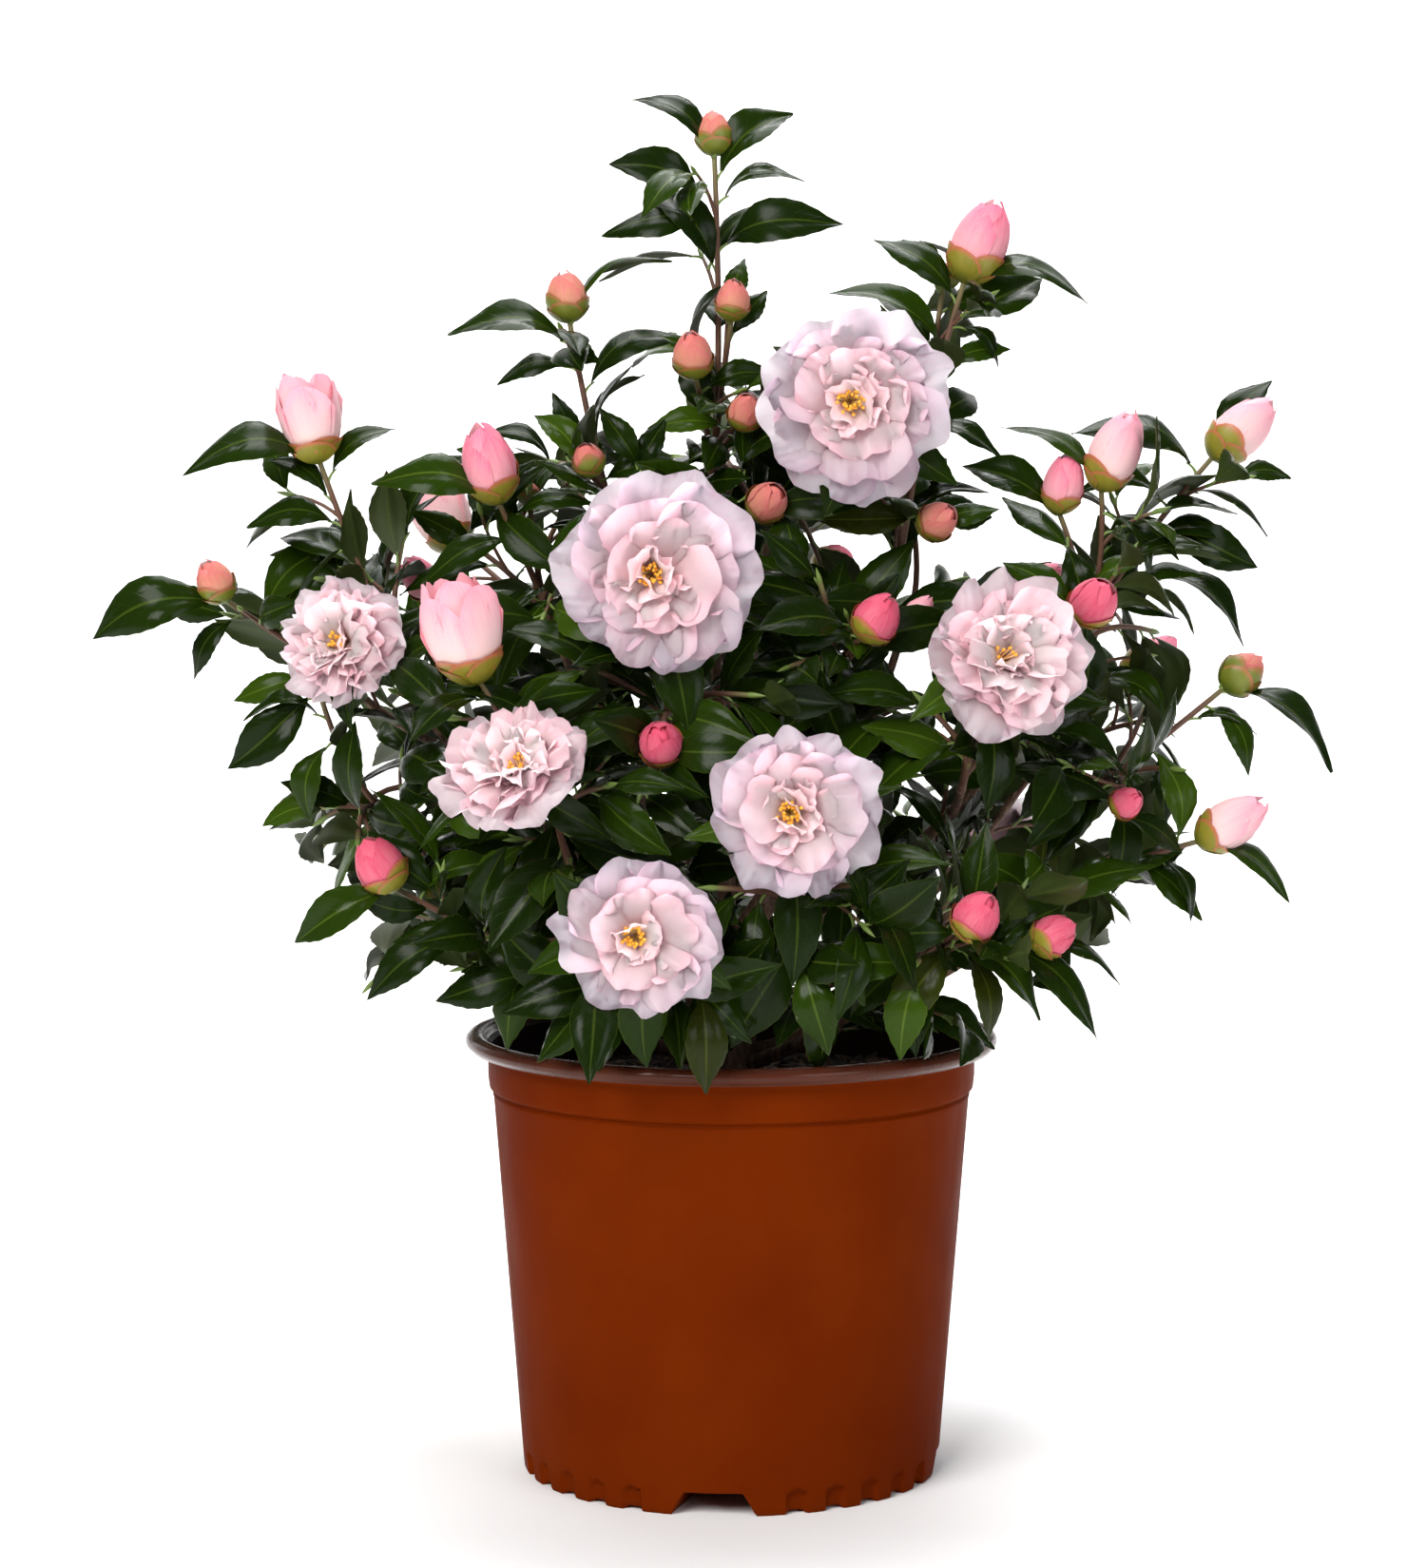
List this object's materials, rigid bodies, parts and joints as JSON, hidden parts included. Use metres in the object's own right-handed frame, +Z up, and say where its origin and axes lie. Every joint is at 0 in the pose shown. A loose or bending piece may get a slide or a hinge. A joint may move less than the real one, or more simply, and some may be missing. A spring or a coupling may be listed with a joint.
{
  "type": "potted camellia shrub",
  "caption": "Young flowering evergreen shrub in a round plastic nursery pot: short branching trunk, masses of glossy leaves, ruffled pink double blooms and plump buds.",
  "frame": {"origin": "the middle of the pot's flat underside", "axes": "+Z up; the fuller, blooming face looks along -Y; +X to the right of someone facing it"},
  "size_m": [0.6436, 0.4648, 0.7186],
  "materials": {
    "pot_plastic": "satin, red-brown",
    "potting_mix": "matt, dark, crumbly",
    "bark": "matt, finely fissured",
    "foliage": "glossy above, paler and matt below"
  },
  "bodies": {
    "root": {"pot": "pot_plastic", "soil": "potting_mix", "trunk": "bark", "bough_back_high": "bark", "bough_back_high_left": "bark", "bough_back_high_right": "bark", "bough_back_left": "bark", "bough_back_low": "bark", "bough_back_low_left": "bark", "bough_back_low_right": "bark", "bough_back_mid": "bark", "bough_back_right": "bark", "bough_centre_right": "bark", "bough_front_high": "bark", "bough_front_left": "bark", "bough_front_right": "bark", "bough_front_right_low": "bark", "bough_high_left": "bark", "bough_high_right": "bark", "bough_leader": "bark", "bough_left_far": "bark", "bough_left_high": "bark", "bough_left_low": "bark", "bough_left_low_far": "bark", "bough_left_mid": "bark", "bough_left_upper": "bark", "bough_right_far": "bark", "bough_right_high": "bark", "bough_right_low": "bark", "bough_right_mid": "bark", "foliage_back_high": "foliage", "foliage_back_high_left": "foliage", "foliage_back_high_right": "foliage", "foliage_back_left": "foliage", "foliage_back_low": "foliage", "foliage_back_low_left": "foliage", "foliage_back_low_right": "foliage", "foliage_back_mid": "foliage", "foliage_back_right": "foliage", "foliage_centre_right": "foliage", "foliage_front_high": "foliage", "foliage_front_left": "foliage", "foliage_front_right": "foliage", "foliage_front_right_low": "foliage", "foliage_high_left": "foliage", "foliage_high_right": "foliage", "foliage_leader": "foliage", "foliage_left_far": "foliage", "foliage_left_high": "foliage", "foliage_left_low": "foliage", "foliage_left_low_far": "foliage", "foliage_left_mid": "foliage", "foliage_left_upper": "foliage", "foliage_right_far": "foliage", "foliage_right_high": "foliage", "foliage_right_low": "foliage", "foliage_right_mid": "foliage"}
  },
  "joints": []
}
